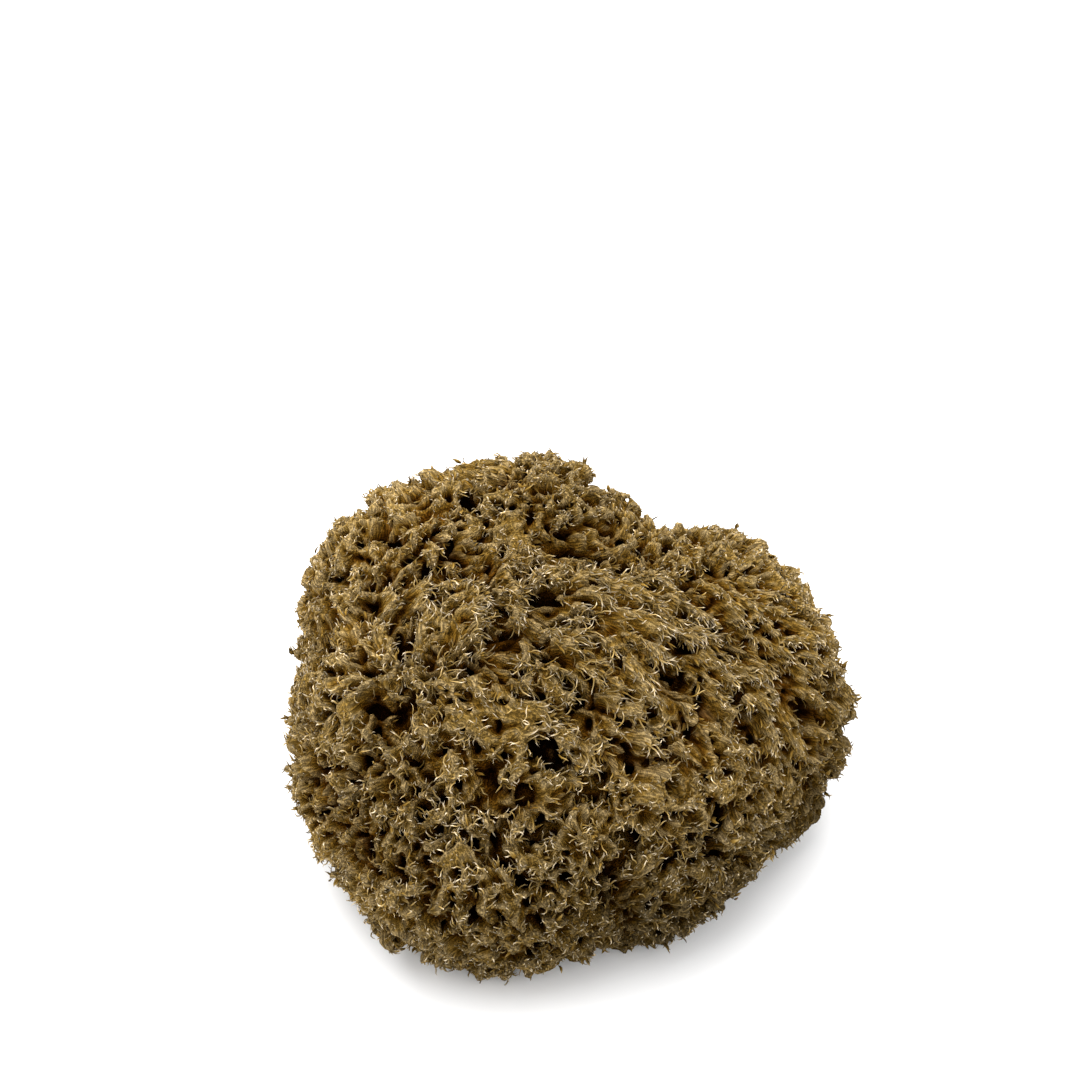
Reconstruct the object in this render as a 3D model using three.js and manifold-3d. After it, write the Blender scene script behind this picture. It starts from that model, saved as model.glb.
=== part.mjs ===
// A natural wool sponge: one lobed, cushion-shaped body that grew as a single piece and was cut
// flat where it sat on the rock. Its skin is gathered into clumps of fibre tufts, with the wide
// mouths of the water canals between them. The solid reaches out to the tips of the tufts.
//
// Millimetres, +Z up, front towards -Y. The origin is the middle of the flat cut base.
import * as THREE from "three";
import { mergeVertices } from "three/addons/utils/BufferGeometryUtils.js";
import Module from "manifold-3d";

// Driving dimensions
const CENTRE_HEIGHT = 34; // of the point the surface is measured out from, above the cut
const BLEND = 9; // how softly neighbouring lobes run into each other
const FACET_STEPS = 21; // splits of each icosahedron edge: about 3.5 mm a facet
const FARTHEST = 120; // no part of the surface is this far from the centre

// The lobes: where each is centred, and its half sizes along X, Y and Z.
const LOBES = [
  { name: "core", at: [-1, -3, 37], half: [59, 54, 48] },
  { name: "foot", at: [-4, 2, 10], half: [55, 50, 22] },
  { name: "front left", at: [-24, -33, 30], half: [36, 31, 36] },
  { name: "front right", at: [14, -26, 31], half: [33, 23, 34] },
  { name: "left", at: [-51, -1, 32], half: [26, 37, 38] },
  { name: "right", at: [48, 9, 33], half: [27, 31, 39] },
  { name: "back left", at: [-43, 35, 42], half: [36, 36, 47] },
  { name: "back", at: [-14, 45, 43], half: [43, 34, 47] },
  { name: "back right", at: [33, 31, 36], half: [38, 31, 41] },
];

// The widest canal mouths (oscula), each by the way it faces from the centre, in degrees:
// azimuth 0 is +X and 90 is the back, and elevation 90 is straight up.
const OSCULA = [
  { azimuth: -133, elevation: 80, width: 13, depth: 9 },
  { azimuth: 180, elevation: 65, width: 8, depth: 6 },
  { azimuth: -130, elevation: 62, width: 10, depth: 7 },
  { azimuth: -93, elevation: 60, width: 8, depth: 6 },
  { azimuth: 132, elevation: 52, width: 9, depth: 6 },
  { azimuth: -64, elevation: 69, width: 8, depth: 6 },
  { azimuth: 5, elevation: 58, width: 9, depth: 6 },
  { azimuth: -33, elevation: 51, width: 8, depth: 6 },
  { azimuth: -57, elevation: 45, width: 8, depth: 6 },
  { azimuth: -148, elevation: 29, width: 11, depth: 8 },
  { azimuth: -97, elevation: 37, width: 8, depth: 6 },
  { azimuth: -85, elevation: 30, width: 12, depth: 8 },
  { azimuth: -122, elevation: 18, width: 8, depth: 6 },
  { azimuth: -110, elevation: 17, width: 9, depth: 6 },
  { azimuth: -97, elevation: 19, width: 9, depth: 6 },
  { azimuth: -74, elevation: 15, width: 11, depth: 8 },
  { azimuth: -62, elevation: 28, width: 8, depth: 6 },
  { azimuth: -54, elevation: 10, width: 8, depth: 6 },
  { azimuth: -32, elevation: 28, width: 10, depth: 7 },
  { azimuth: 178, elevation: 20, width: 9, depth: 6 },
  { azimuth: 143, elevation: 24, width: 9, depth: 6 },
  { azimuth: 108, elevation: 12, width: 10, depth: 7 },
  { azimuth: 80, elevation: 38, width: 10, depth: 7 },
  { azimuth: 58, elevation: 15, width: 9, depth: 6 },
  { azimuth: 22, elevation: 22, width: 9, depth: 6 },
];

// The clumps of tufts: domes of mixed size that meet in creases, over everything but the cut.
const CLUMP_TRIES = 5000;
const CLUMP_SPACING = 8.5;
const CLUMP_WIDTH = { least: 13, most: 19 };
const CLUMP_HEIGHT = { least: 2.4, most: 4 };
const TYPICAL_RADIUS = 62; // from the centre to the skin, to turn the spacing into an angle

const wasm = await Module();
wasm.setup();

const centre = new THREE.Vector3(0, 0, CENTRE_HEIGHT);

// Roughly how far a point lies outside a lobe; negative inside.
function lobeDistance(point, lobe) {
  const [x, y, z] = lobe.at;
  const [a, b, c] = lobe.half;
  const scaled = new THREE.Vector3((point.x - x) / a, (point.y - y) / b, (point.z - z) / c);
  return (scaled.length() - 1) * Math.min(a, b, c);
}

// The lower of two distances, with the corner between them rounded off.
function smoothMinimum(a, b) {
  const h = Math.max(BLEND - Math.abs(a - b), 0) / BLEND;
  return Math.min(a, b) - (h * h * BLEND) / 4;
}

function bodyDistance(point) {
  return LOBES.map((lobe) => lobeDistance(point, lobe)).reduce(smoothMinimum);
}

// How far out the body's skin lies along a direction from the centre.
function skinRadius(direction) {
  let inside = 0;
  let outside = FARTHEST;
  for (let i = 0; i < 40; i++) {
    const middle = (inside + outside) / 2;
    const point = centre.clone().addScaledVector(direction, middle);
    if (bodyDistance(point) < 0) inside = middle;
    else outside = middle;
  }
  return inside;
}

function directionOf({ azimuth, elevation }) {
  const direction = new THREE.Vector3(1, 0, 0);
  direction.applyAxisAngle(new THREE.Vector3(0, -1, 0), THREE.MathUtils.degToRad(elevation));
  direction.applyAxisAngle(new THREE.Vector3(0, 0, 1), THREE.MathUtils.degToRad(azimuth));
  return direction;
}

function between({ least, most }) {
  return THREE.MathUtils.lerp(least, most, THREE.MathUtils.seededRandom());
}

// Random directions that keep apart from each other, each with the size of its clump.
function scatterClumps() {
  THREE.MathUtils.seededRandom(7);
  const clumps = [];
  for (let i = 0; i < CLUMP_TRIES; i++) {
    const z = 2 * THREE.MathUtils.seededRandom() - 1;
    const around = 2 * Math.PI * THREE.MathUtils.seededRandom();
    const side = Math.sqrt(1 - z * z);
    const direction = new THREE.Vector3(side * Math.cos(around), side * Math.sin(around), z);
    const gap = CLUMP_SPACING / TYPICAL_RADIUS;
    if (clumps.every((clump) => clump.direction.distanceTo(direction) > gap)) {
      clumps.push({ direction, width: between(CLUMP_WIDTH), height: between(CLUMP_HEIGHT) });
    }
  }
  return clumps;
}

// 1 at the middle of a dome of this width, falling ever more steeply to 0 at its edge.
function dome(distance, width) {
  return Math.max(1 - ((2 * distance) / width) ** 2, 0);
}

const clumps = scatterClumps();
const oscula = OSCULA.map((mouth) => ({ ...mouth, direction: directionOf(mouth) }));

// How far out the finished surface lies: the skin with its clumps and canal mouths.
function surfaceRadius(direction) {
  const skin = skinRadius(direction);
  const rises = clumps.map(
    (clump) => clump.height * dome(clump.direction.distanceTo(direction) * skin, clump.width),
  );
  const sinks = oscula.map(
    (mouth) => mouth.depth * dome(mouth.direction.distanceTo(direction) * skin, mouth.width),
  );
  return skin - CLUMP_HEIGHT.most + Math.max(...rises) - Math.max(...sinks);
}

// The whole body before it was cut from the rock: a ball pushed out to its surface.
function uncutBody() {
  const ball = new THREE.IcosahedronGeometry(1, FACET_STEPS);
  ball.deleteAttribute("normal");
  ball.deleteAttribute("uv");
  const geometry = mergeVertices(ball, 1e-5);
  const position = geometry.getAttribute("position");
  for (let i = 0; i < position.count; i++) {
    const direction = new THREE.Vector3().fromBufferAttribute(position, i).normalize();
    const point = centre.clone().addScaledVector(direction, surfaceRadius(direction));
    position.setXYZ(i, point.x, point.y, point.z);
  }
  return geometry;
}

function toManifold(geometry) {
  const shape = geometry.clone();
  shape.deleteAttribute("normal");
  shape.deleteAttribute("uv");
  const merged = mergeVertices(shape, 1e-5);
  const mesh = new wasm.Mesh({
    numProp: 3,
    vertProperties: new Float32Array(merged.getAttribute("position").array),
    triVerts: new Uint32Array(merged.index.array),
  });
  return new wasm.Manifold(mesh);
}

function toGeometry(manifold) {
  const mesh = manifold.getMesh();
  const geometry = new THREE.BufferGeometry();
  geometry.setAttribute("position", new THREE.BufferAttribute(mesh.vertProperties, 3));
  geometry.setIndex(new THREE.BufferAttribute(mesh.triVerts, 1));
  return geometry;
}

// The body cut off flat at z = 0, with its middle over the origin.
function spongeGeometry() {
  const rock = new THREE.BoxGeometry(2 * FARTHEST, 2 * FARTHEST, FARTHEST);
  rock.translate(0, 0, -FARTHEST / 2);
  const geometry = toGeometry(toManifold(uncutBody()).subtract(toManifold(rock)));
  geometry.computeBoundingBox();
  const middle = geometry.boundingBox.getCenter(new THREE.Vector3());
  geometry.translate(-middle.x, -middle.y, 0);
  geometry.computeVertexNormals();
  return geometry;
}

const spongeFibre = new THREE.MeshStandardMaterial({
  color: 0x8c7042,
  roughness: 0.95,
  metalness: 0,
});

const sponge = new THREE.Mesh(spongeGeometry(), spongeFibre);
sponge.name = "sponge";

const part = new THREE.Group();
part.add(sponge);

export default part;
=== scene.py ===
"""A natural wool sponge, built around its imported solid.

Its skin is a felt of fibres: tufts that stand on an inner body, webs that join them, and canals
that run in between them. The felt is worked out as a distance field and meshed, and then fringed
with loose fibres. Shapes are worked out in millimetres and written to the meshes in metres.
"""

import math
from concurrent.futures import ThreadPoolExecutor

import bpy
import numpy as np
import openvdb as vdb
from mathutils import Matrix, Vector


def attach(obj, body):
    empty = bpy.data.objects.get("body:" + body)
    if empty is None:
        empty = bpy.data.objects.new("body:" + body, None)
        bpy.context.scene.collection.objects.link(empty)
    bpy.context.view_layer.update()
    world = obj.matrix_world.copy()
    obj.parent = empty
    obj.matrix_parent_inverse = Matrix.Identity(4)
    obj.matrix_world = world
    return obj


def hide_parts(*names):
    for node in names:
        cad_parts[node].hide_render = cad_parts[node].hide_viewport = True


MM = 0.001
rng = np.random.default_rng(11)

VOXEL = 0.6  # the felt's grid
MARGIN = 10  # voxels of the grid past the solid
UNDER_FLOOR = 8  # voxels of the grid below the floor
BAND = 4.0  # distances are kept this far off a surface that is meshed
FELT_TRIANGLES = 470_000
FELT_PIECES = 3
SOLID_DEPTH = 7.2  # below the tips, where even the pores have ended
CUT_HEIGHT = 0.4  # of the felt's flat base above the floor
LOWEST_FIBRE = 0.1
STRAND = 0.33  # the width of a strand within a lock

# ---------------------------------------------------------------- places on the sponge

CENTRE = np.array([0.0, 0.0, 34.0])
# The widest canal mouths: azimuth (0 is +X, 90 the back) and elevation in degrees from CENTRE,
# and the radius of the mouth. The bearings of the first 37 were printed by a scratch script, from
# openings picked out by eye in the picture, and three of them were then moved. The bearings of the
# rest, which the picture doesn't show, and all the radii were given.
MOUTHS = [
    (-133, 80, 2.5), (180, 65, 1.8), (-149, 63, 1.7), (-126, 63, 2.5), (-127, 55, 1.7),
    (-93, 60, 2.0), (132, 52, 2.1), (-64, 69, 2.0), (3, 65, 1.7), (7, 52, 2.0),
    (-14, 49, 1.7), (-33, 51, 1.8), (-44, 49, 1.7), (-57, 45, 1.8), (-150, 28, 2.2),
    (-142, 33, 2.0), (-97, 37, 2.0), (-84, 46, 2.0), (-85, 30, 2.0), (-122, 18, 1.7),
    (-113, 16, 1.7), (-108, 17, 1.7), (-104, 21, 1.7), (-102, 17, 2.0), (-99, 27, 1.8),
    (-95, 20, 1.8), (-97, 15, 1.5), (-103, 12, 1.5), (-98, 7, 1.8), (-87, 17, 1.8),
    (-74, 15, 2.0), (-70, 30, 1.7), (-61, 27, 1.8), (-61, 19, 1.5), (-53, 13, 1.7),
    (-56, 5, 1.5), (-32, 28, 2.4), (178, 20, 2.0), (160, 34, 1.8), (143, 24, 2.1),
    (120, 30, 1.7), (108, 12, 2.4), (95, 42, 1.8), (80, 36, 2.5), (70, 10, 1.8),
    (58, 15, 2.1), (45, 34, 1.8), (22, 22, 2.1), (5, 10, 1.8), (-15, 14, 1.8),
    (-168, 6, 1.8), (150, 4, 1.8),
]
MOUTH_DEPTH = 11.0
MOUTH_FLARE = 1.3  # how much wider a mouth is where it opens in the skin

# The other pores: how many spots are tried, and the least and most of their measures. A wall is
# the felt that is left between a pore and the next.
PORE_SPOTS = 60_000
MEDIUM_SPOTS = 2500  # the first of them
MEDIUM_PORES = {"radius": (0.9, 1.5), "depth": (5, 8), "wall": (1.8, 3.2)}
SMALL_PORES = {"radius": (0.4, 0.8), "depth": (3, 6), "wall": (2.0, 3.5)}

# Where the tufts are combed: a place, the way they lean there, and how far around it that holds.
COMBING = [
    ((0, -25, 80), (1.0, -0.5, -0.2), 24),
    ((35, -10, 72), (1.2, -0.9, -0.5), 26),
    ((52, -12, 56), (0.9, -0.7, -0.6), 20),
    ((-30, 0, 78), (0.6, -0.1, 0.0), 22),
    ((-60, 0, 50), (-0.2, 0.2, 0.8), 24),
    ((-30, 45, 85), (-0.5, 0.1, 0.1), 24),
    ((-22, -56, 48), (-0.1, -0.2, 0.6), 20),
    ((20, -50, 40), (0.3, 0.0, 0.5), 20),
]

# Where the loose fibres are longest, and how far around it that holds.
SHAGGIEST, SHAG_REACH = (-12, -26, 62), 55

# Painted light and shade: places where the sponge is painted paler, as painted light, or darker, as
# painted shade; a place, by how much, and how far around it that holds. They were chosen by hand,
# from the mean colours of 13 zones of the picture and of a render.
PAINTED_LIGHT_AND_SHADE = [
    ((-40, 30, 78), 0.22, 26),
    ((60, 25, 55), 0.18, 22),
    ((0, 45, 85), -0.08, 24),
    ((44, -2, 72), -0.16, 20),
    ((5, -60, 38), -0.20, 22),
    ((45, -45, 20), -0.12, 22),
    ((-60, -30, 20), -0.06, 25),
]


def unit(v):
    return v / np.maximum(np.linalg.norm(v, axis=-1, keepdims=True), 1e-9)


def facing(azimuth, elevation):
    a, e = np.radians(azimuth), np.radians(elevation)
    return np.stack([np.cos(e) * np.cos(a), np.cos(e) * np.sin(a), np.sin(e)], -1)


def sideways(way, hint):
    """Two directions square to the way and to each other."""
    first = unit(np.cross(way, hint))
    return first, np.cross(way, first)


def nearness(points, place, reach):
    """1 at the place, falling away smoothly around it."""
    return np.exp(-((points - np.array(place)) ** 2).sum(-1) / reach**2)


def lean_at(points, out):
    """How the tufts are combed over, in mm of lean per mm of height, along the skin."""
    lean = np.zeros_like(points)
    for place, way, reach in COMBING:
        lean += nearness(points, place, reach)[..., None] * np.array(way)
    return lean - out * (lean * out).sum(-1, keepdims=True)


# ---------------------------------------------------------------- grids


class Grid:
    """Voxel grids over the sponge that share one corner and one shape."""

    def __init__(self, points):
        self.low = np.floor(points.min(0) / VOXEL).astype(int) - MARGIN
        self.low[2] = -UNDER_FLOOR
        high = np.ceil(points.max(0) / VOXEL).astype(int) + MARGIN
        self.shape = tuple(int(n) for n in high - self.low)
        self.corner = tuple(int(n) for n in self.low)
        self.axes = [
            (np.arange(n) + first).astype(np.float32) * VOXEL for n, first in zip(self.shape, self.low)
        ]

    def sampler(self, points):
        """Reads any of the grids at these points, between their voxels."""
        where = points.astype(np.float32) / VOXEL - self.low.astype(np.float32)
        where = np.clip(where, 0, np.array(self.shape, np.float32) - 1.01)  # short of the last voxel
        cell = where.astype(np.int32)
        part = where - cell
        steps = (self.shape[1] * self.shape[2], self.shape[2], 1)
        first = cell[:, 0] * steps[0] + cell[:, 1] * steps[1] + cell[:, 2]
        corners = []
        for corner in np.ndindex(2, 2, 2):
            weight = 1
            for axis, far in enumerate(corner):
                weight = weight * (part[:, axis] if far else 1 - part[:, axis])
            corners.append((first + sum(step * far for step, far in zip(steps, corner)), weight))

        def sample(values):
            if values.ndim == 4:
                return np.stack([sample(np.ascontiguousarray(values[..., i])) for i in range(3)], -1)
            flat = values.ravel()
            return sum(flat.take(index) * weight for index, weight in corners)

        return sample

    def read(self, values, points):
        return self.sampler(points)(values)

    def noise(self, size, seed):
        """Smooth noise of spread 1 with features about size mm across: a cubic spline over random
        values on a coarser grid."""
        step = size / VOXEL
        coarse = [int(n / step) + 5 for n in self.shape]
        values = np.random.default_rng(seed).normal(size=coarse).astype(np.float32)
        for axis, n in enumerate(self.shape):
            where = np.arange(n) / step + 1.5
            cell = where.astype(int)
            t = (where - cell).astype(np.float32).reshape([-1 if a == axis else 1 for a in range(3)])
            spline = (
                (1 - t) ** 3 / 6,
                (3 * t**3 - 6 * t**2 + 4) / 6,
                (-3 * t**3 + 3 * t**2 + 3 * t + 1) / 6,
                t**3 / 6,
            )
            values = sum(values.take(cell + k - 1, axis=axis) * w for k, w in enumerate(spline))
        return values / values.std()

    def mesh(self, values):
        """The zero surface of a grid, as points and quads."""
        grid = vdb.FloatGrid(BAND)
        grid.copyFromArray(np.clip(values, -BAND, BAND), ijk=self.corner)
        grid.transform = vdb.createLinearTransform(voxelSize=VOXEL)
        grid.gridClass = vdb.GridClass.LEVEL_SET
        points, quads = grid.convertToQuads(0.0)
        return points.astype(float), quads


def blurred(values, sigma):
    """A Gaussian blur along each axis, sigma in voxels."""
    reach = int(3 * sigma)
    weights = np.exp(-0.5 * (np.arange(-reach, reach + 1) / sigma) ** 2)
    weights /= weights.sum()
    for axis in range(3):
        padded = np.pad(values, [(reach, reach) if a == axis else (0, 0) for a in range(3)], "edge")
        total = np.zeros_like(values)
        for i, w in enumerate(weights):
            cut = [slice(None)] * 3
            cut[axis] = slice(i, i + values.shape[axis])
            total += w.astype(np.float32) * padded[tuple(cut)]
        values = total
    return values


def rounded_maximum(a, b, width, fill):
    """The higher of two fields, with the corner between them filled in over the width."""
    h = np.maximum(width - np.abs(a - b), 0) / width
    return np.maximum(a, b) + h * h * fill


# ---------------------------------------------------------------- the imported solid

SKIRT = 25  # how far below the floor the solid is drawn down
FLOOR_ROUNDING = 0.01
ENVELOPE_REACH = 19  # voxels each way in which the distances hold
ENVELOPE_BLUR = 2.5


def solid_points(node):
    """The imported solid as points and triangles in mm, its cut base drawn down well below the
    floor, so that distances near the base are to its sides."""
    mesh = node.data
    mesh.calc_loop_triangles()
    points = np.zeros(len(mesh.vertices) * 3, np.float32)
    mesh.vertices.foreach_get("co", points)
    points = points.reshape(-1, 3) / MM
    triangles = np.zeros(len(mesh.loop_triangles) * 3, np.int32)
    mesh.loop_triangles.foreach_get("vertices", triangles)
    points[points[:, 2] < FLOOR_ROUNDING, 2] = -SKIRT
    return points, triangles.reshape(-1, 3).astype(np.uint32)


def envelope_of(grid, points, triangles):
    """Distances to the solid's side and top, in mm: negative inside."""
    level = vdb.FloatGrid.createLevelSetFromPolygons(
        points,
        triangles=triangles,
        transform=vdb.createLinearTransform(voxelSize=VOXEL),
        halfWidth=ENVELOPE_REACH,
    )
    values = np.zeros(grid.shape, np.float32)
    level.copyToArray(values, ijk=grid.corner)
    return blurred(values, ENVELOPE_BLUR)


# ---------------------------------------------------------------- the pores

COMBED_SHUT = 0.9  # the share of the pores that is lost for each mm of lean per mm
NO_WALL = -9.0  # lets the mouths open into each other


def pick_on(points, faces, count, weights=1.0):
    """Random spots on a surface, by area times weights, with the face each lies on."""
    a, b, c = (points[faces[:, i]] for i in range(3))
    area = np.linalg.norm(np.cross(b - a, c - a), axis=1) * weights
    pick = rng.choice(len(faces), count, p=area / area.sum())
    u, v = rng.random((2, count, 1))
    over = u + v > 1
    u, v = np.where(over, 1 - u, u), np.where(over, 1 - v, v)
    return a[pick] + (b[pick] - a[pick]) * u + (c[pick] - a[pick]) * v, pick


class Pores:
    """Pores over the skin, kept apart by walls. Each is stretched along the flow of the fibres."""

    CELL = 7.0  # two pores that touch are in the same cell of space or in neighbours

    def __init__(self):
        self.cells = {}
        self.place, self.radius, self.depth, self.flow, self.stretch = [], [], [], [], []

    def scatter(self, spots, radii, depths, flows, stretches, walls):
        for p, r, d, f, s, wall in zip(spots, radii, depths, flows, stretches, walls):
            key = tuple((p // self.CELL).astype(int))
            near = [
                j
                for dx in (-1, 0, 1)
                for dy in (-1, 0, 1)
                for dz in (-1, 0, 1)
                for j in self.cells.get((key[0] + dx, key[1] + dy, key[2] + dz), ())
            ]
            if near:
                gap = np.array([self.place[j] for j in near]) - p
                gap -= f * (gap @ f)[:, None] * (1 - 1 / s)
                least = r + wall + np.array([self.radius[j] for j in near])
                if (np.linalg.norm(gap, axis=1) < least).any():
                    continue
            self.cells.setdefault(key, []).append(len(self.place))
            tables = (self.place, self.radius, self.depth, self.flow, self.stretch)
            for table, value in zip(tables, (p, r, d, f, s)):
                table.append(value)

    def scatter_kind(self, kind, spots, flows, stretches):
        count = len(spots)
        measures = ("radius", "depth", "wall")
        radii, depths, walls = (rng.uniform(*kind[measure], count) for measure in measures)
        self.scatter(spots, radii, depths, flows, stretches, walls)


def flow_at(felt, points):
    """The way the fibres run along the skin there, and how stretched the pores are along it."""
    out = felt.outward(points)
    lean = lean_at(points, out)
    flow = lean + 0.25 * rng.normal(size=points.shape)
    flow -= out * (flow * out).sum(-1, keepdims=True)
    return unit(flow), 1 + 1.4 * np.linalg.norm(lean, axis=-1) + rng.uniform(0, 0.5, len(points))


def pore_spots(felt):
    """Random spots on the skin, fewer where the tufts are combed over the pores."""
    skin, faces = felt.grid.mesh(felt.envelope + 1.0)
    spots, _ = pick_on(skin, faces, PORE_SPOTS)
    spots = spots[spots[:, 2] > 1.0]
    combing = np.linalg.norm(lean_at(spots, felt.outward(spots)), axis=-1)
    return spots[rng.random(len(spots)) > COMBED_SHUT * combing]


def mouth_places(felt, ways):
    """Where the ways from the centre meet the skin, 2 mm below the tips, found step by step."""
    reach = np.full(len(ways), 20.0)
    for _ in range(60):
        miss = felt.grid.read(felt.envelope, CENTRE + ways * reach[:, None]) + 2
        reach -= np.clip(miss, -8, 8) * 0.8
    return CENTRE + ways * reach[:, None]


def scattered_pores(felt):
    """The mouths first, then the medium pores and the small ones in what room is left."""
    spots = pore_spots(felt)
    azimuth, elevation, radius = np.array(MOUTHS, float).T
    mouths = mouth_places(felt, facing(azimuth, elevation))
    count = len(mouths)
    pores = Pores()
    flows, _ = flow_at(felt, mouths)
    pores.scatter(
        mouths, MOUTH_FLARE * radius, np.full(count, MOUTH_DEPTH), flows,
        rng.uniform(1, 1.4, count), np.full(count, NO_WALL),
    )
    flows, stretches = flow_at(felt, spots)
    medium, small = slice(None, MEDIUM_SPOTS), slice(MEDIUM_SPOTS, None)
    pores.scatter_kind(MEDIUM_PORES, spots[medium], flows[medium], stretches[medium])
    pores.scatter_kind(SMALL_PORES, spots[small], flows[small], stretches[small])
    return pores


# ---------------------------------------------------------------- the felt

COMBED, WHORLED = 1.3, 0.45  # how strongly the fibres follow the combing, and whorls of their own
STRONGEST_FLOW = 1.5

# The pores' sides
PORE_LEAN, PORE_SPREAD = 0.7, 0.15  # how far they lean with the combing, and at random
PORE_TOP = 3  # how far above the skin they start
PORE_FLARE, PORE_TAPER = 1.2, 0.4  # how much wider they start, and narrower they end
PORE_WANDER = 1.1
PORE_REACH = 1.3  # in radii, past which nothing of it is left
WALL_REACH = 2.6  # a pore shapes the felt this far around it
WALL_ROUGHNESS = 0.2

# The crests, in mm of depth below the tips
SKIN_DEPTH, SKIN_REACH = 3.5, 5.5  # the middle of the depths that hold crests, and how far each way
ROOTED, ROOTED_LEAN = 0.8, 0.5  # how closely a noise keeps to one tuft from its root to its tip
TAPS, TAP_STEP = (-2, -1, 0, 1, 2), 1.1  # where a noise is read along the flow, to comb it
# For each noise: its features' width, its seed, and how much stronger it is where combed.
SHEET_NOISES = ((2.6, 51, 0.7), (1.8, 53, 1.0), (1.15, 54, 1.2))
SHEET_DROP, SHEET_WIDTH = 2.1, 0.8  # from a sheet's crest to its foot
LIP_DROP, LIP_WIDTH = 2.0, 0.6  # at the edge of a pore
SWELL, RAGGED, FRAYED = 0.7, 1.2, 0.95
CAP_DEPTH, CAP_ROUGHNESS = 0.7, 0.3  # below which every tip ends
CAP_ROUNDING, SIDE_ROUNDING = (1.2, 0.3), (0.9, 0.22)
BODY_ROUGHNESS = 0.8

# How pale the sponge is, with painted light and shade in it
PALEST = 1.09
FOOT_SHADE, RIGHT_SHADE = 0.08, 0.68  # painted shade: how much darker the foot is all round, and more at its front right
SHADE_FOOT, SHADE_TOP, SHADE_FADE = 4, 58, 0.9  # the heights where the painted shade is darkest and where it ends
RIGHT_X, RIGHT_Y, RIGHT_SPAN = 1.3, -0.5, 160
PALER_X, PALER_Y = -1.2, 3.0  # painted light: paler towards the left and the back, in thousandths per mm
PATCHES = 0.06


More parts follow.
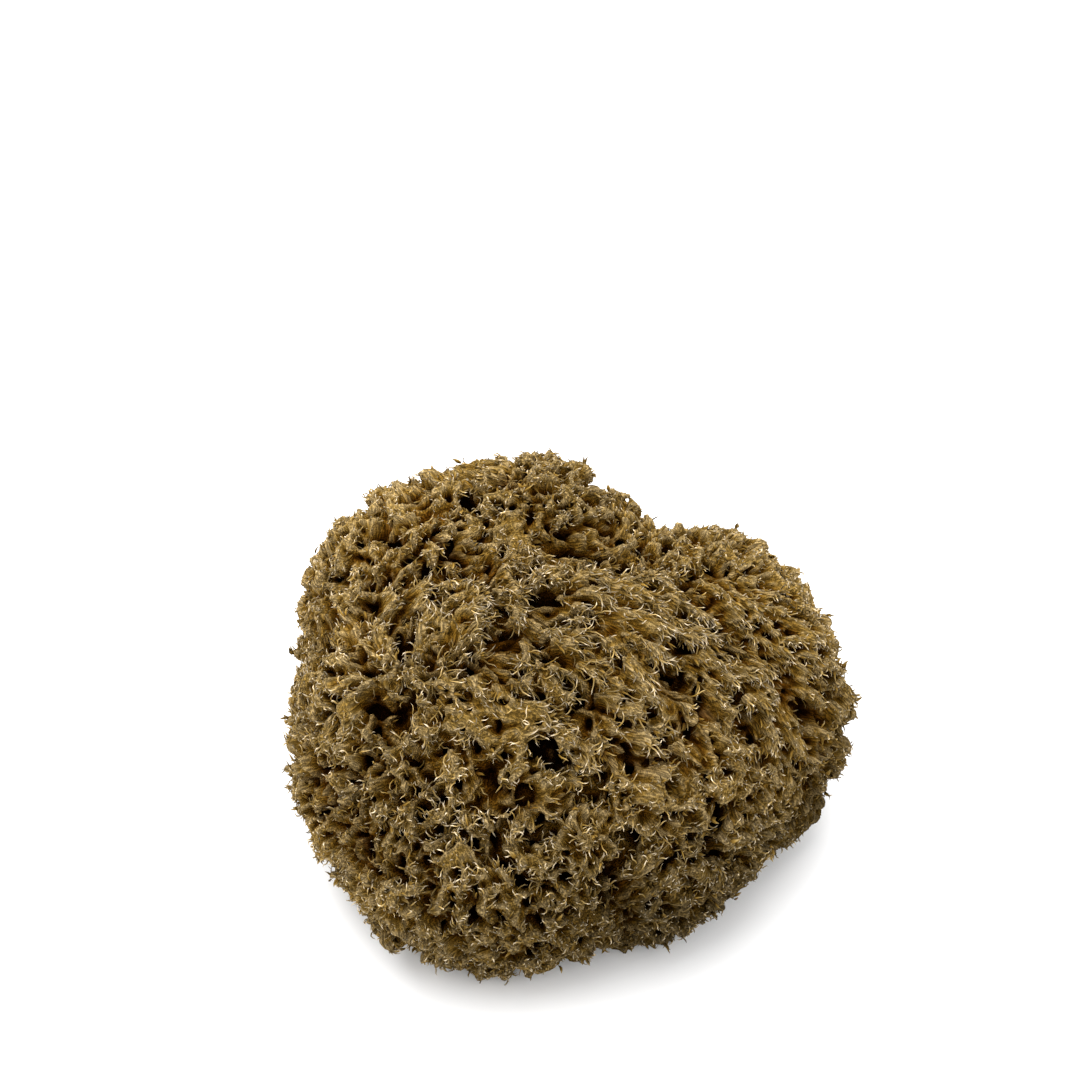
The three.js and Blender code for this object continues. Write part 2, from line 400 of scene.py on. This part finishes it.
class Felt:
    def __init__(self, grid, envelope):
        self.grid, self.envelope = grid, envelope
        self.slopes = np.stack(np.gradient(envelope), -1)
        self.walls = np.full(grid.shape, WALL_REACH, np.float32)
        self.warp = [PORE_WANDER * grid.noise(2.8, 30 + i) for i in range(3)]
        self.swirl = [grid.noise(7.0, 60 + i) for i in range(3)]
        self.patches = grid.noise(16.0, 80)

    def outward(self, points):
        return unit(self.grid.read(self.slopes, points))

    def flow(self, at, points, out):
        """The way the fibres lie along the skin: combed in places, in whorls elsewhere."""
        swirl = WHORLED * np.stack([at(part) for part in self.swirl], -1)
        swirl -= out * (swirl * out).sum(-1, keepdims=True)
        return COMBED * lean_at(points, out) + swirl

    def sink(self, pores):
        """Distances from the pores' sides: negative inside them."""
        places = np.array(pores.place)
        out = self.outward(places)
        ways = unit(out + PORE_LEAN * lean_at(places, out) + PORE_SPREAD * rng.normal(size=places.shape))
        for pore in zip(places, ways, pores.radius, pores.depth, pores.flow, pores.stretch):
            self.bore(*pore)

    def bore(self, place, way, radius, depth, flow, stretch):
        """One pore: a round-ended cone, stretched along the flow, with sides that wander."""
        top, bottom = place + way * PORE_TOP, place - way * depth
        reach = radius * PORE_REACH * stretch + WALL_REACH
        low = np.floor((np.minimum(top, bottom) - reach) / VOXEL).astype(int) - self.grid.low
        high = np.ceil((np.maximum(top, bottom) + reach) / VOXEL).astype(int) - self.grid.low
        low, high = np.maximum(low, 0), np.minimum(high, self.grid.shape)
        if (high <= low).any():
            return
        box = tuple(slice(first, end) for first, end in zip(low, high))
        axes = np.ix_(*(axis[part] for axis, part in zip(self.grid.axes, box)))
        x, y, z = (axis + warp[box] - np.float32(start) for axis, warp, start in zip(axes, self.warp, top))
        w = (bottom - top).astype(np.float32)
        t = np.clip((x * w[0] + y * w[1] + z * w[2]) / np.float32(w @ w), 0, 1)
        x, y, z = x - w[0] * t, y - w[1] * t, z - w[2] * t
        f = flow.astype(np.float32)
        along = x * f[0] + y * f[1] + z * f[2]
        across2 = x * x + y * y + z * z - along * along * np.float32(1 - 1 / stretch**2)
        side = np.sqrt(np.maximum(across2, 0)) - np.float32(radius) * (PORE_FLARE - PORE_TAPER * t)
        self.walls[box] = np.minimum(self.walls[box], side)

    def combed_noises(self, rooted, flow):
        """The sheets' noises at these points, drawn out along the flow."""
        noises = [self.grid.noise(size, seed) for size, seed, _ in SHEET_NOISES]

        def tap(k):
            at = self.grid.sampler(rooted + TAP_STEP * k * flow)
            return np.stack([at(noise) for noise in noises])

        with ThreadPoolExecutor(4) as pool:
            combed = sum(pool.map(tap, TAPS))
        strength = np.minimum(np.linalg.norm(flow, axis=-1), STRONGEST_FLOW)
        gains = [gain for _, _, gain in SHEET_NOISES]
        return [total / len(TAPS) * (1 + gain * strength) for total, gain in zip(combed, gains)]

    def finish(self):
        """The felt's own field: sheets that stand on the body and end in ragged crests."""
        near = np.abs(self.envelope + SKIN_DEPTH) < SKIN_REACH
        near[:, :, self.grid.axes[2] < 0] = False
        points = np.stack([axis[i] for axis, i in zip(self.grid.axes, np.nonzero(near))], -1)
        level = self.envelope[near]
        out = unit(self.slopes[near])
        flow = self.flow(self.grid.sampler(points), points, out)
        rooted = points - (out + ROOTED_LEAN * flow) * (ROOTED * level)[:, None]
        sheets, locks, ends = self.combed_noises(rooted, flow)
        crest = level + SHEET_DROP * np.minimum(np.abs(sheets) / SHEET_WIDTH, 1)
        crest += LIP_DROP * np.exp(-np.maximum(self.walls[near], 0) / LIP_WIDTH)
        at = self.grid.sampler(rooted)
        crest += SWELL * at(self.grid.noise(7.0, 52)) + RAGGED * locks + FRAYED * ends
        cap = level - CAP_DEPTH + CAP_ROUGHNESS * at(self.grid.noise(1.6, 56))
        crest = rounded_maximum(crest, cap, *CAP_ROUNDING)
        side = -self.walls[near] + WALL_ROUGHNESS * self.grid.noise(1.8, 55)[near]
        self.field = self.envelope.copy()
        self.field[near] = rounded_maximum(crest, side, *SIDE_ROUNDING)
        body = self.envelope + SOLID_DEPTH + BODY_ROUGHNESS * self.grid.noise(4.0, 21)
        self.field = np.minimum(self.field, body)
        self.field = np.maximum(self.field, CUT_HEIGHT - self.grid.axes[2][None, None, :])
        self.field_slopes = np.stack(np.gradient(self.field), -1)
        # The hollow and crease fields give the felt's colour its painted shade in hollows and creases and
        # its painted highlight on crests.
        self.hollow = blurred(np.clip(self.field, -2, 2), 2.4)
        self.crease = blurred(np.clip(self.field, -1.5, 1.5), 1.0)

    def tone_and_painted_light(self, points):
        """How pale the sponge is: painted shade darkens it lower down, above all at its front right, painted
        light makes it paler towards the left and back, spots of painted light and shade, and patches of its
        own tone.
        """
        x, y, z = points.T
        low = 1 - np.clip((z - SHADE_FOOT) / (SHADE_TOP - SHADE_FOOT), 0, 1) ** SHADE_FADE
        right = np.clip(0.5 + (RIGHT_X * x + RIGHT_Y * y) / RIGHT_SPAN, 0, 1)
        pale = PALEST - low * (FOOT_SHADE + RIGHT_SHADE * right**2) + PATCHES * self.grid.read(self.patches, points)
        pale = pale + 0.001 * (PALER_Y * y + PALER_X * x)
        for place, amount, reach in PAINTED_LIGHT_AND_SHADE:
            pale += amount * nearness(points, place, reach)
        return pale


# ---------------------------------------------------------------- meshes

THINNING_STEPS = 5  # how many weights the thinning has
THINNING_FACTOR = 0.1
HIDDEN_FROM, HIDDEN_BELOW = 2, 6  # the depths where the felt starts to be hidden, and is hidden
RIDGE_GAIN = 0.9


def cells(count):
    """The low corners and the width of count square cells that fill a map."""
    across = int(np.ceil(np.sqrt(count)))
    index = np.arange(count)
    return np.stack([index % across, index // across], -1) / across, 1 / across


def make_mesh(name, points, faces, places, attributes, material):
    """A piece from points in mm and faces, with the place of each face's corners on its map and
    its per-point attributes."""
    mesh = bpy.data.meshes.new(name)
    corners = faces.shape[1]
    mesh.vertices.add(len(points))
    mesh.vertices.foreach_set("co", (points * MM).astype(np.float32).ravel())
    mesh.loops.add(faces.size)
    mesh.loops.foreach_set("vertex_index", faces.astype(np.int32).ravel())
    mesh.polygons.add(len(faces))
    mesh.polygons.foreach_set("loop_start", np.arange(0, faces.size, corners, dtype=np.int32))
    mesh.update(calc_edges=True)
    mesh.uv_layers.new(name="OFBake").uv.foreach_set("vector", places.astype(np.float32).ravel())
    mesh.validate()
    mesh.shade_smooth()
    for key, values in attributes.items():
        kind, slot = ("FLOAT", "value") if values.ndim == 1 else ("FLOAT_VECTOR", "vector")
        mesh.attributes.new(key, kind, "POINT").data.foreach_set(slot, values.astype(np.float32).ravel())
    mesh.materials.append(material)
    piece = bpy.data.objects.new(name, mesh)
    bpy.context.scene.collection.objects.link(piece)
    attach(piece, "root")
    return piece


def thinned(points, quads, hidden, keep):
    """Fewer, larger triangles, above all where the surface is plain or hidden (0 to 1)."""
    mesh = bpy.data.meshes.new("thinning")
    mesh.from_pydata(points, [], quads)
    thinning = bpy.data.objects.new("thinning", mesh)
    bpy.context.scene.collection.objects.link(thinning)
    modifier = thinning.modifiers.new("thin", "DECIMATE")
    modifier.ratio = keep / (2 * len(quads))
    group = thinning.vertex_groups.new(name="hidden")
    steps = 1 + np.round(hidden * (THINNING_STEPS - 1)).astype(int)
    for step in range(1, THINNING_STEPS + 1):
        group.add(np.nonzero(steps == step)[0].tolist(), step / THINNING_STEPS, "REPLACE")
    modifier.vertex_group = group.name
    modifier.vertex_group_factor = THINNING_FACTOR
    result = thinning.evaluated_get(bpy.context.evaluated_depsgraph_get()).to_mesh()
    result.calc_loop_triangles()
    points = np.zeros(len(result.vertices) * 3, np.float32)
    result.vertices.foreach_get("co", points)
    triangles = np.zeros(len(result.loop_triangles) * 3, np.int32)
    result.loop_triangles.foreach_get("vertices", triangles)
    bpy.data.objects.remove(thinning)
    bpy.data.meshes.remove(mesh)
    return points.reshape(-1, 3).astype(float), triangles.reshape(-1, 3)


def paired_places(count):
    """Where the corners of so many triangles go on a map: two triangles to each square cell."""
    corner, width = cells((count + 1) // 2)
    lower = [(0.05, 0.05), (0.85, 0.05), (0.05, 0.85)]
    upper = [(0.95, 0.95), (0.15, 0.95), (0.95, 0.15)]
    places = corner[:, None, None] + np.array([lower, upper])[None] * width
    return places.reshape(-1, 3, 2)[:count]


def build_felt(felt, material):
    """The felt's pieces, side by side along X, and its whole surface for the fibres to grow on."""
    points, quads = felt.grid.mesh(felt.field)
    points[:, 2] = np.maximum(points[:, 2], 0.0)
    depth = -felt.grid.read(felt.envelope, points)
    hidden = np.clip((depth - HIDDEN_FROM) / (HIDDEN_BELOW - HIDDEN_FROM), 0, 1)
    points, triangles = thinned(points, quads, hidden, FELT_TRIANGLES)
    # Height, ridge and edge set the painted shade in the pits, hollows and creases, and the painted
    # highlight on sharp crests.
    height = np.clip(1 + felt.grid.read(felt.envelope, points) / SOLID_DEPTH, 0, 1)
    ridge = np.clip(0.5 + felt.grid.read(felt.hollow, points) * RIDGE_GAIN, 0, 1)
    edge = felt.grid.read(felt.crease, points)
    order = np.argsort(points[triangles].mean(1)[:, 0], kind="stable")
    pieces = []
    for n, share in enumerate(np.array_split(order, FELT_PIECES)):
        used, faces = np.unique(triangles[share], return_inverse=True)
        at = felt.grid.sampler(points[used])
        out = unit(at(felt.slopes))
        attributes = {
            "height": height[used],
            "ridge": ridge[used],
            "edge": edge[used],
            "grain": unit(0.8 * out + felt.flow(at, points[used], out)),
            # The shade attribute: painted light and shade, with patches of the sponge's own tone.
            "shade": felt.tone_and_painted_light(points[used]),
        }
        places = paired_places(len(share))
        faces = faces.reshape(-1, 3)
        pieces.append(make_mesh(f"felt_{n + 1}", points[used], faces, places, attributes, material))
    return pieces, Surface(felt, points, triangles, ridge, height)


# ---------------------------------------------------------------- loose fibres

# Each kind of fibre, or flat lock of them, in the order they grow. Lengths, and half the widths
# and thicknesses, are the least and most. The profile is how wide a fibre is at each segment.
# power: how strongly they keep to the ridges; low: the height they start at, from 0 to 1 at the
# tips; combed: how many more grow where the felt is combed; outward, along and spread: how far
# they point away from the body, along the flow, and at random; turn: how far they bend at each
# segment; sag: how far they fall back to the skin; forks: how many grow from one root.
FINE = (0.09, 0.12)
FIBRES = {
    "fuzz": {
        "count": 4000, "length": (0.4, 0.9), "wide": FINE, "thin": FINE, "profile": (1.0,), "pale": 0.15,
    },
    "fringe": {
        "count": 4500, "length": (0.7, 1.6), "wide": FINE, "thin": FINE, "profile": (1.0, 0.9), "pale": 0.35,
        "power": 2.5, "low": 0.4, "turn": 0.8,
    },
    "locks": {
        "count": 2500, "length": (1.4, 3.2), "wide": (0.35, 0.75), "thin": (0.15, 0.28),
        "profile": (0.8, 1.0, 0.6), "pale": 0.03, "power": 1.4, "combed": 1.0, "outward": 0.25,
        "along": 1.3, "spread": 0.25, "turn": 0.35, "sag": 0.4, "forks": 2,
    },
    "strands": {
        "count": 14000, "length": (2.5, 5.5), "wide": (0.16, 0.25), "thin": (0.15, 0.23),
        "profile": (0.9, 1.0, 0.95, 0.75), "pale": 0.22, "low": 0.45, "power": 2.2, "combed": 0.8,
        "outward": 0.4, "along": 1.7, "spread": 0.22, "turn": 0.58, "sag": 0.5, "shaggy": True, "pieces": 2,
    },
    "curls": {
        "count": 3000, "length": (1.4, 2.8), "wide": (0.11, 0.15), "thin": (0.11, 0.15),
        "profile": (1.0, 1.0, 0.9, 0.8), "pale": 0.42, "power": 2.5, "low": 0.5, "outward": 0.35,
        "along": 1.3, "spread": 0.4, "turn": 0.8, "sag": 0.3, "shaggy": True,
    },
}
ROOT_DEPTH = 0.2
NORMAL_SHARE = 0.35  # how far a fibre points away from the very spot it grows on
PALER_HIGH = 0.45  # painted shade: how much paler fibres are where they grow on the tips than in the pits
MOST_LAID = 1.2  # the most that combing still changes the fibres
FORK_SPREAD, FORK_TURN = 1.2, 0.35
TURN_BACK = 0.4  # the chance that a bend goes the other way than the last one
HEIGHT_RISE, HEIGHT_MOST = 0.5, 1.4  # how much paler a fibre is at its tip than at its root, partly as painted shade at the root


def fibre_spines(start, heading, length, turn, sag, segments):
    """The middle line of each fibre and its headings. Each turns by about so many radians a
    segment, now and then the other way, and sags towards the skin."""
    count = len(start)
    step = (length / segments)[:, None]
    axis = unit(np.cross(heading, rng.normal(size=(count, 3))))
    spine, ways = [start], [heading]
    for _ in range(segments):
        angle = (turn * rng.uniform(0.6, 1.4, count))[:, None]
        heading = unit(heading * np.cos(angle) + np.cross(axis, heading) * np.sin(angle) - sag / segments)
        axis = unit(np.cross(np.cross(heading, axis), heading) + 0.5 * rng.normal(size=(count, 3)))
        axis = unit(axis - heading * (axis * heading).sum(-1, keepdims=True))
        axis = np.where(rng.random((count, 1)) < TURN_BACK, -axis, axis)
        spine.append(spine[-1] + heading * step)
        ways.append(heading)
    return spine, ways


def tube_points(spine, ways, facing_out, wide, thin, profile):
    """A ring of three points round each fibre at the start of each segment, and then its tip."""
    rings = []
    for k, scale in enumerate(profile):
        across, keel = sideways(unit(ways[k] + ways[k + 1]), facing_out)
        for corner in range(3):
            around = corner * 2 * np.pi / 3
            width = scale * rng.uniform(0.8, 1.2, len(wide)) * wide
            aside = across * (np.sin(around) * width)[:, None]
            rings.append(spine[k] + aside - keel * (np.cos(around) * scale * thin)[:, None])
    points = np.stack(rings + [spine[-1]], 1)
    points[..., 2] = np.maximum(points[..., 2], LOWEST_FIBRE)
    return points


def tube_faces(segments):
    """The triangles of one fibre's closed tube, and their places on its own cell of the map: its
    root as one triangle, and its three sides next to each other above that."""
    faces, places = [(2, 1, 0)], [((0.1, 0.02), (0.9, 0.02), (0.5, 0.12))]
    for k in range(segments):
        low, high = 0.15 + 0.85 * k / segments, 0.15 + 0.85 * (k + 1) / segments
        for i in range(3):
            a, b = 3 * k + i, 3 * k + (i + 1) % 3
            left, right = 0.3 * i + 0.05, 0.3 * (i + 1) + 0.05
            if k < segments - 1:
                faces += [(a, b, b + 3), (a, b + 3, a + 3)]
                places += [
                    ((left, low), (right, low), (right, high)),
                    ((left, low), (right, high), (left, high)),
                ]
            else:
                faces.append((a, b, 3 * segments))
                places.append(((left, low), (right, low), ((left + right) / 2, high)))
    return np.array(faces), np.array(places)


def strand_places(length, wide, segments):
    """Where each point lies on its own lock, in widths of a strand, for the strands' colour."""
    along = np.concatenate([np.repeat(np.arange(segments) / segments, 3), [1.0]])
    side = np.concatenate([np.tile(np.sin(np.arange(3) * 2 * np.pi / 3), segments), [0.0]])
    own = rng.uniform(0, 500, len(length))
    places = np.stack(
        [
            side[None] * wide[:, None] / STRAND,
            along[None] * length[:, None] / (16 * STRAND),
            np.repeat(own[:, None], len(along), 1),
        ],
        -1,
    )
    return along, places


def shag(points, laid):
    """How long the loose fibres are: short at the sides and back, long above the front and where
    they are combed."""
    return 0.4 + 0.7 * nearness(points, SHAGGIEST, SHAG_REACH) + 0.15 * laid


class Surface:
    """The felt's whole surface, with what decides where fibres grow on it."""

    def __init__(self, felt, points, triangles, ridge, height):
        self.felt, self.points, self.triangles = felt, points, triangles
        self.middle = points[triangles].mean(1)
        self.combing = np.linalg.norm(lean_at(self.middle, felt.outward(self.middle)), axis=-1)
        self.ridge, self.height = ridge[triangles].mean(1), height[triangles].mean(1)

    def roots(self, count, power, low, combed):
        """Random spots for fibres, most of all on the felt's crests."""
        weights = (0.02 + self.ridge**power) * (self.middle[:, 2] > 0.8)
        weights = weights * np.clip((self.height - low) * 4, 0.02, 1) * (1 + combed * self.combing)
        return pick_on(self.points, self.triangles, count, weights)

    def grow(
        self, name, material, count, length, wide, thin, profile, pale, pieces=1,
        power=2.0, low=0.3, combed=0.0, outward=0.8, along=1.0, spread=0.35,
        turn=0.0, sag=0.0, forks=1, shaggy=False,
    ):
        """One kind of fibre over the felt, as described above FIBRES."""
        start, pick = self.roots(count, power, low, combed)
        start, pick = np.repeat(start, forks, 0), np.repeat(pick, forks)
        at = self.felt.grid.sampler(start)
        out = unit(at(self.felt.slopes))
        normal = unit(at(self.felt.field_slopes))
        heading = normal * NORMAL_SHARE + out * outward + self.felt.flow(at, start, out) * along
        noise = np.repeat(rng.normal(size=(count, 3)), forks, 0)
        heading = unit(heading + spread * noise)
        laid = np.minimum(self.combing[pick], MOST_LAID)
        count *= forks
        if forks > 1:
            across = unit(np.cross(heading, out + 0.5 * noise))
            aside = rng.uniform(-1, 1, (count, 1))
            start = start + across * aside * FORK_SPREAD * wide[1]
            heading = unit(heading + across * aside * FORK_TURN)

        facing_out = unit(out + 0.5 * rng.normal(size=out.shape))
        length = rng.uniform(*length, count) * (shag(start, laid) if shaggy else 1)
        wide, thin, tint = rng.uniform(*wide, count), rng.uniform(*thin, count), rng.random(count)
        start = start - normal * ROOT_DEPTH
        segments = len(profile)
        spine, ways = fibre_spines(start, heading, length, turn * (1.1 - 0.3 * laid), sag * out, segments)
        points = tube_points(spine, ways, facing_out, wide, thin, profile)
        faces, places = tube_faces(segments)
        rise, strand = strand_places(length, wide, segments)
        # Painted shade: fibres are darker at their roots, and darker still where they grow in the pits.
        root = pale + PALER_HIGH * self.height[pick]
        height = np.clip(root[:, None] + HEIGHT_RISE * rise[None], 0, HEIGHT_MOST)
        per = points.shape[1]
        for n, share in enumerate(np.array_split(np.arange(count), pieces)):
            offset = (np.arange(len(share)) * per)[:, None, None]
            corner, width = cells(len(share))
            attributes = {
                "height": height[share].ravel(),
                # The tint: each fibre's own tint, times the painted light and shade of the sponge.
                "tint": np.repeat(tint[share] * self.felt.tone_and_painted_light(start[share]), per),
                "strand": strand[share].reshape(-1, 3),
            }
            make_mesh(
                f"{name}_{n + 1}", points[share].reshape(-1, 3), (faces[None] + offset).reshape(-1, 3),
                corner[:, None, None] + places[None] * width, attributes, material,
            )


# ---------------------------------------------------------------- materials

FELT_COLOURS = [  # from the pits to the tips, with painted shade darkening the pits
    (0.0, (0.007, 0.002, 0.0003)),
    (0.12, (0.070, 0.026, 0.002)),
    (0.4, (0.134, 0.070, 0.0092)),
    (0.9, (0.200, 0.124, 0.031)),
]
# A painted highlight on the sharp crests.
CREST_HIGHLIGHT = (0.40, 0.305, 0.165)
FIBRE_COLOURS = [  # from the roots, darkened as painted shade, to the palest tips
    (0.3, (0.06, 0.025, 0.002)),
    (0.7, (0.172, 0.103, 0.020)),
    (0.95, (0.318, 0.229, 0.098)),
    (1.15, (0.52, 0.425, 0.29)),
]
STREAK_STEP = 0.00042  # metres along the grain between the places that are averaged to a streak
STREAK_SCALE, SPECK_SCALE, FUZZ_SCALE = 2000.0, 2600, 2200.0
BUMP_HEIGHT = 0.0005


class Nodes:
    def __init__(self, name, roughness, specular):
        self.material = bpy.data.materials.new(name)
        self.material.use_nodes = True
        self.tree = self.material.node_tree
        self.shader = self.tree.nodes["Principled BSDF"]
        self.shader.inputs["Roughness"].default_value = roughness
        self.shader.inputs["Specular IOR Level"].default_value = specular

    def add(self, kind, inputs, **settings):
        made = self.tree.nodes.new(kind)
        for key, value in settings.items():
            setattr(made, key, value)
        for key, value in inputs.items():
            if isinstance(value, bpy.types.NodeSocket):
                self.tree.links.new(value, made.inputs[key])
            else:
                made.inputs[key].default_value = value
        return made

    def attribute(self, name, output="Fac"):
        return self.add("ShaderNodeAttribute", {}, attribute_name=name).outputs[output]

    def maths(self, operation, *values):
        return self.add("ShaderNodeMath", dict(enumerate(values)), operation=operation).outputs["Value"]

    def ranged(self, value, low, high, to_low=0.0, to_high=1.0):
        """The value moved from one range to another, and kept within it."""
        inputs = {"Value": value, "From Min": low, "From Max": high, "To Min": to_low, "To Max": to_high}
        return self.add("ShaderNodeMapRange", inputs).outputs["Result"]

    def ramp(self, factor, stops):
        made = self.add("ShaderNodeValToRGB", {"Fac": factor})
        elements = made.color_ramp.elements
        elements[0].position, elements[0].color = stops[0][0], (*stops[0][1], 1)
        elements[1].position, elements[1].color = stops[-1][0], (*stops[-1][1], 1)
        for position, colour in stops[1:-1]:
            elements.new(position).color = (*colour, 1)
        return made.outputs["Color"]

    def noise(self, place, scale, detail):
        inputs = {"Vector": place, "Scale": scale, "Detail": detail}
        return self.add("ShaderNodeTexNoise", inputs).outputs["Fac"]

    def specks(self, place, scale, low, high):
        return self.ranged(self.noise(place, scale, 1), 0.3, 0.7, low, high)

    def times(self, colour, factor):
        inputs = {0: colour, "Scale": factor}
        return self.add("ShaderNodeVectorMath", inputs, operation="SCALE").outputs["Vector"]

    def paint(self, colour):
        self.tree.links.new(colour, self.shader.inputs["Base Color"])


def felt_material():
    """Painted shade from brown to near black in the pits, tawny at the tips, a painted highlight at sharp
    crests and painted shade in creases, streaked along the grain.
    """
    n = Nodes("felt", roughness=1.0, specular=0.0)
    place = n.add("ShaderNodeTexCoord", {}).outputs["Object"]
    height, edge = n.attribute("height"), n.attribute("edge")
    # Painted shade: the colour darkens from the tips into the pits and hollows.
    colour = n.ramp(n.maths("MULTIPLY", height, n.attribute("ridge")), FELT_COLOURS)
    # A painted highlight on sharp crests, and painted shade in concave creases.
    sharp = n.maths("MULTIPLY", n.ranged(edge, 0.1, 0.4, to_high=0.45), height)
    mix = n.add("ShaderNodeMix", {"Factor": sharp, 6: colour, 7: (*CREST_HIGHLIGHT, 1)}, data_type="RGBA")
    colour = n.times(mix.outputs[2], n.ranged(edge, -0.3, 0.05, to_low=0.7))

    grain = n.attribute("grain", "Vector")
    total = None
    for k in (-2, -1, 0, 1, 2):
        shift = {0: grain, 1: (k * STREAK_STEP,) * 3, 2: place}
        moved = n.add("ShaderNodeVectorMath", shift, operation="MULTIPLY_ADD").outputs["Vector"]
        noise = n.noise(moved, STREAK_SCALE, 1.0)
        total = noise if total is None else n.maths("ADD", total, noise)
    streaks = n.ranged(total, 2.2, 2.8)
    colour = n.times(colour, n.ranged(streaks, 0.0, 1.0, 0.42, 1.45))
    colour = n.times(colour, n.specks(place, SPECK_SCALE, 0.85, 1.15))
    n.paint(n.times(colour, n.attribute("shade")))

    bumps = n.maths("MULTIPLY_ADD", n.noise(place, FUZZ_SCALE, 2.0), 0.4, streaks)
    bump = n.add("ShaderNodeBump", {"Height": bumps, "Strength": 1.0, "Distance": BUMP_HEIGHT})
    n.tree.links.new(bump.outputs["Normal"], n.shader.inputs["Normal"])
    return n.material


def fibre_material():
    """Paler from root to tip, partly as painted shade at the root, each fibre with a tint of its own that
    also carries painted light and shade, and streaked across a lock.
    """
    n = Nodes("fibre", roughness=0.8, specular=0.04)
    colour = n.ramp(n.attribute("height"), FIBRE_COLOURS)
    colour = n.times(colour, n.ranged(n.attribute("tint"), 0.0, 1.0, 0.45, 1.5))
    n.paint(n.times(colour, n.specks(n.attribute("strand", "Vector"), 1.0, 0.35, 1.6)))
    return n.material


# ---------------------------------------------------------------- the studio, in metres

FLOOR_HALF = 4.0
PAPER = 0.9  # its colour and its roughness
SKY_STRENGTH, KEY_ENERGY = 1.5, 2.9
KEY_WIDTH = 60  # degrees of sky that the light fills
KEY_WAY = (0.22, -0.2, -1)
LENS, SENSOR = 50, 36
ELEVATION = 43  # degrees
DISTANCE = 0.4
AIM_HEIGHT = 0.040
AIM_LEFT, AIM_UP = 0.0075, 0.043  # how far the middle of the picture is off that point


def build_floor():
    mesh = bpy.data.meshes.new("floor")
    corners = [(-1, -1), (1, -1), (1, 1), (-1, 1)]
    mesh.from_pydata([(x * FLOOR_HALF, y * FLOOR_HALF, 0) for x, y in corners], [], [(0, 1, 2, 3)])
    floor = bpy.data.objects.new("floor", mesh)
    bpy.context.scene.collection.objects.link(floor)
    paper = bpy.data.materials.new("paper")
    paper.use_nodes = True
    shader = paper.node_tree.nodes["Principled BSDF"]
    shader.inputs["Base Color"].default_value = (PAPER, PAPER, PAPER, 1)
    shader.inputs["Roughness"].default_value = PAPER
    mesh.materials.append(paper)


def build_lights():
    world = bpy.data.worlds.new("studio")
    world.use_nodes = True
    world.node_tree.nodes["Background"].inputs["Color"].default_value = (1, 1, 1, 1)
    world.node_tree.nodes["Background"].inputs["Strength"].default_value = SKY_STRENGTH
    bpy.context.scene.world = world
    light = bpy.data.lights.new("key", "SUN")
    light.energy = KEY_ENERGY
    light.angle = math.radians(KEY_WIDTH)
    key = bpy.data.objects.new("key", light)
    key.rotation_euler = Vector(KEY_WAY).to_track_quat("-Z", "Y").to_euler()
    bpy.context.scene.collection.objects.link(key)


def build_camera():
    lens = bpy.data.cameras.new("camera")
    lens.lens, lens.sensor_width = LENS, SENSOR
    lens.clip_start = 0.01
    camera = bpy.data.objects.new("camera", lens)
    elevation = math.radians(ELEVATION)
    middle = Vector((0, 0, AIM_HEIGHT))
    camera.location = middle + DISTANCE * Vector((0, -math.cos(elevation), math.sin(elevation)))
    target = middle + Vector((-AIM_LEFT, AIM_UP * math.sin(elevation), AIM_UP * math.cos(elevation)))
    camera.rotation_euler = (target - camera.location).to_track_quat("-Z", "Y").to_euler()
    bpy.context.scene.collection.objects.link(camera)
    bpy.context.scene.camera = camera
    bpy.context.scene.view_settings.view_transform = "Standard"


# ---------------------------------------------------------------- putting it together

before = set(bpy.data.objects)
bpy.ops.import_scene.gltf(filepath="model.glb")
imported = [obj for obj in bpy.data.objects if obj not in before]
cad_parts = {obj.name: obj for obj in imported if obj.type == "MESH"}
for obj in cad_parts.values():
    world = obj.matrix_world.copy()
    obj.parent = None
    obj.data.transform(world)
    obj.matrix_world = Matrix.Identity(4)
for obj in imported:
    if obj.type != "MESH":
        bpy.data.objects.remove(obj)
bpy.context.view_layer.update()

solid, solid_triangles = solid_points(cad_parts["sponge"])
grid = Grid(solid)
felt = Felt(grid, envelope_of(grid, solid, solid_triangles))
felt.sink(scattered_pores(felt))
felt.finish()

felt_paint, fibre_paint = felt_material(), fibre_material()
felt_pieces, surface = build_felt(felt, felt_paint)
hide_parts("sponge")
for name, kind in FIBRES.items():
    surface.grow(name, fibre_paint, **kind)

build_floor()
build_lights()
build_camera()
